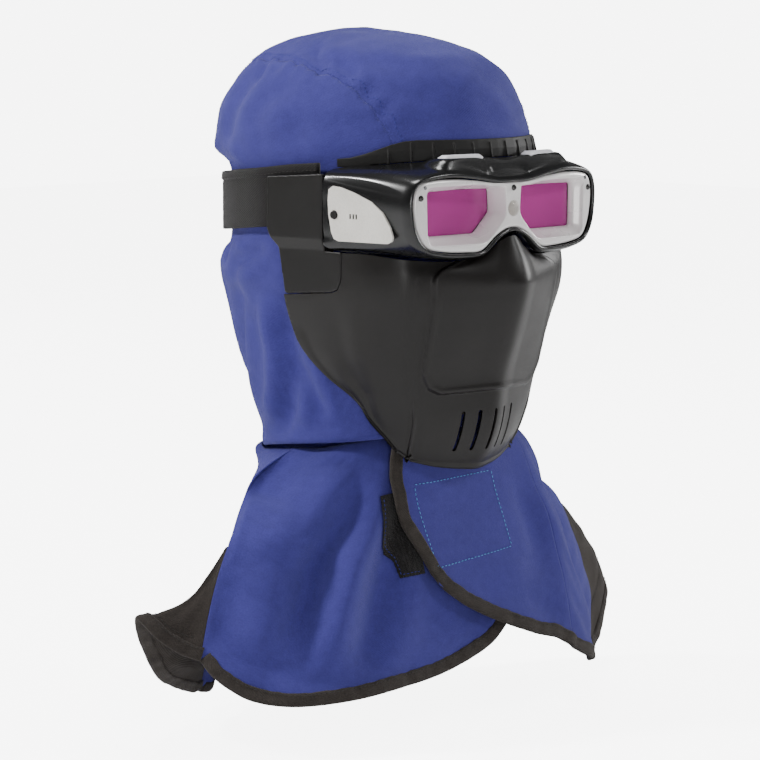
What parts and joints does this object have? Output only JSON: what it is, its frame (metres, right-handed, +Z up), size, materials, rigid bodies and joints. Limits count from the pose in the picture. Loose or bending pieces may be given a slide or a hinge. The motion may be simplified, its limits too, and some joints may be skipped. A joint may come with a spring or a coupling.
{
  "type": "welding goggles and mask with hood",
  "caption": "Auto-darkening welding goggles with a lower face mask, elastic head strap and a flame-resistant fabric hood with a wrap-round bib.",
  "frame": {"origin": "centre of the wearer's head at eye height", "axes": "+Z up, -Y is the way the wearer faces, +X is the wearer's left"},
  "size_m": [0.4209, 0.2352, 0.4172],
  "materials": {
    "fabric_blue": "flame-resistant cotton twill",
    "fabric_black": "soft black edging and knit",
    "elastic": "woven elastic",
    "shell_black": "satin black moulding",
    "mask_black": "matt black moulding",
    "seal_rubber": "soft moulded rubber",
    "silver": "satin silver paint on plastic",
    "lens": "magenta coated filter glass",
    "lens_clear": "clear polycarbonate",
    "white_button": "white moulding",
    "electronics": "circuit board",
    "metal": "steel",
    "battery": "foil pouch cell"
  },
  "bodies": {
    "hood": {"hood_crown_panel": "fabric_blue", "hood_side_panel_right": "fabric_blue", "hood_side_panel_left": "fabric_blue", "face_opening_binding": "fabric_black", "bib_panel_right": "fabric_blue", "hem_binding_right": "fabric_black", "bib_panel_left": "fabric_blue", "hem_binding_left": "fabric_black", "bib_back_panel": "fabric_blue", "hem_binding_back": "fabric_black", "gusset_right": "fabric_black", "gusset_rim_right": "fabric_black", "gusset_left": "fabric_black", "gusset_rim_left": "fabric_black", "loop_strip": "fabric_black", "head_strap": "elastic"},
    "bib_flap": {"bib_flap": "fabric_blue", "flap_binding": "fabric_black", "hook_patch": "fabric_black"},
    "slider": {"strap_slider": "shell_black"},
    "mask": {"mask_shell": "mask_black"},
    "test_button": {"test_button": "shell_black"},
    "shade_button_left": {"shade_button_left": "white_button"},
    "shade_button_right": {"shade_button_right": "white_button"},
    "goggles": {"goggle_housing": "shell_black", "side_plate_left": "silver", "side_plate_right": "silver", "charge_bar_1": "lens_clear", "charge_bar_2": "lens_clear", "charge_bar_3": "lens_clear", "side_bracket_left": "shell_black", "side_bracket_right": "shell_black", "front_bezel": "silver", "arc_sensor_centre": "shell_black", "arc_sensor_left": "shell_black", "arc_sensor_right": "shell_black", "bezel_screw_left": "metal", "bezel_screw_right": "metal", "work_light_lens": "lens_clear", "work_light_board": "electronics", "cover_lens_left": "lens_clear", "cover_lens_right": "lens_clear", "shutter_filter_left": "lens", "shutter_filter_right": "lens", "inner_lens_left": "lens_clear", "inner_lens_right": "lens_clear", "filter_carrier": "shell_black", "main_board": "electronics", "test_switch": "electronics", "battery_cell": "battery", "brow_seal": "seal_rubber", "face_pad": "seal_rubber"}
  },
  "joints": [
    {"name": "flap_lift", "type": "hinge", "parent": "hood", "child": "bib_flap", "pos_m": [0, -0.0675, -0.151], "axis": [-1, 0, 0], "range_deg": [0, 20]},
    {"name": "goggles_pull", "type": "slide", "parent": "hood", "child": "goggles", "axis": [0, -1, 0], "range_m": [0, 0.045], "stiffness_N_per_m": 120, "deforming": ["head_strap"]},
    {"name": "mask_release", "type": "slide", "parent": "goggles", "child": "mask", "axis": [0, -0.35, -0.9368], "range_m": [0, 0.03]},
    {"name": "shade_press_left", "type": "slide", "parent": "goggles", "child": "shade_button_left", "axis": [0, 0, -1], "range_m": [0, 0.0012], "stiffness_N_per_m": 600},
    {"name": "shade_press_right", "type": "slide", "parent": "goggles", "child": "shade_button_right", "axis": [0, 0, -1], "range_m": [0, 0.0012], "stiffness_N_per_m": 600},
    {"name": "test_press", "type": "slide", "parent": "goggles", "child": "test_button", "axis": [0.993, 0.118, 0], "range_m": [0, 0.0004], "stiffness_N_per_m": 900},
    {"name": "slider_shift", "type": "hinge", "parent": "hood", "child": "slider", "pos_m": [0, 0.009, 0.006], "axis": [0, 0.0995, 0.995], "range_deg": [-6, 20]}
  ]
}
